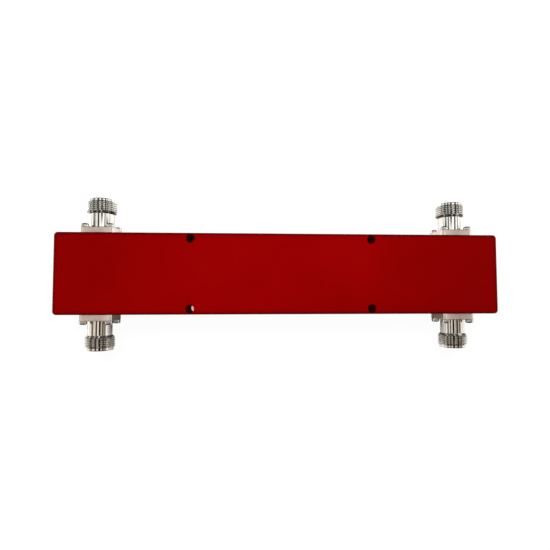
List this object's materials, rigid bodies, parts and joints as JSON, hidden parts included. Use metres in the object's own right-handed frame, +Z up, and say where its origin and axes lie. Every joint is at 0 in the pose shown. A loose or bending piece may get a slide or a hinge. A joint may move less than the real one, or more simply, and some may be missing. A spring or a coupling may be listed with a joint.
{
  "type": "hybrid coupler",
  "caption": "Long flat metal-cased hybrid coupler with threaded coaxial jacks on square flanges along both long sides and through holes for mounting.",
  "frame": {"origin": "middle of the body's length and width, on the outer face of the cover, which the coupler rests on", "axes": "+X along the body from the inputs to the outputs, +Y along the jacks' axes, +Z up from the cover to the housing's plain face"},
  "size_m": [0.242, 0.0834, 0.024],
  "materials": {
    "red_finish": "satin",
    "jack_plating": "polished",
    "line_plating": "satin",
    "contact_plating": "gloss",
    "insulation": "satin",
    "screw_steel": "gloss",
    "seal_rubber": "matte"
  },
  "bodies": {
    "root": {"housing": "red_finish", "cover": "red_finish", "cover_seal": "seal_rubber", "cover_screws": "screw_steel", "upper_line": "line_plating", "lower_line": "line_plating", "line_support_1": "insulation", "line_support_2": "insulation", "line_support_3": "insulation", "line_support_4": "insulation", "in_1_shell": "jack_plating", "in_1_insulator": "insulation", "in_1_contact": "contact_plating", "in_1_seal": "seal_rubber", "in_1_screws": "screw_steel", "in_2_shell": "jack_plating", "in_2_insulator": "insulation", "in_2_contact": "contact_plating", "in_2_seal": "seal_rubber", "in_2_screws": "screw_steel", "out_1_shell": "jack_plating", "out_1_insulator": "insulation", "out_1_contact": "contact_plating", "out_1_seal": "seal_rubber", "out_1_screws": "screw_steel", "out_2_shell": "jack_plating", "out_2_insulator": "insulation", "out_2_contact": "contact_plating", "out_2_seal": "seal_rubber", "out_2_screws": "screw_steel"}
  },
  "joints": []
}
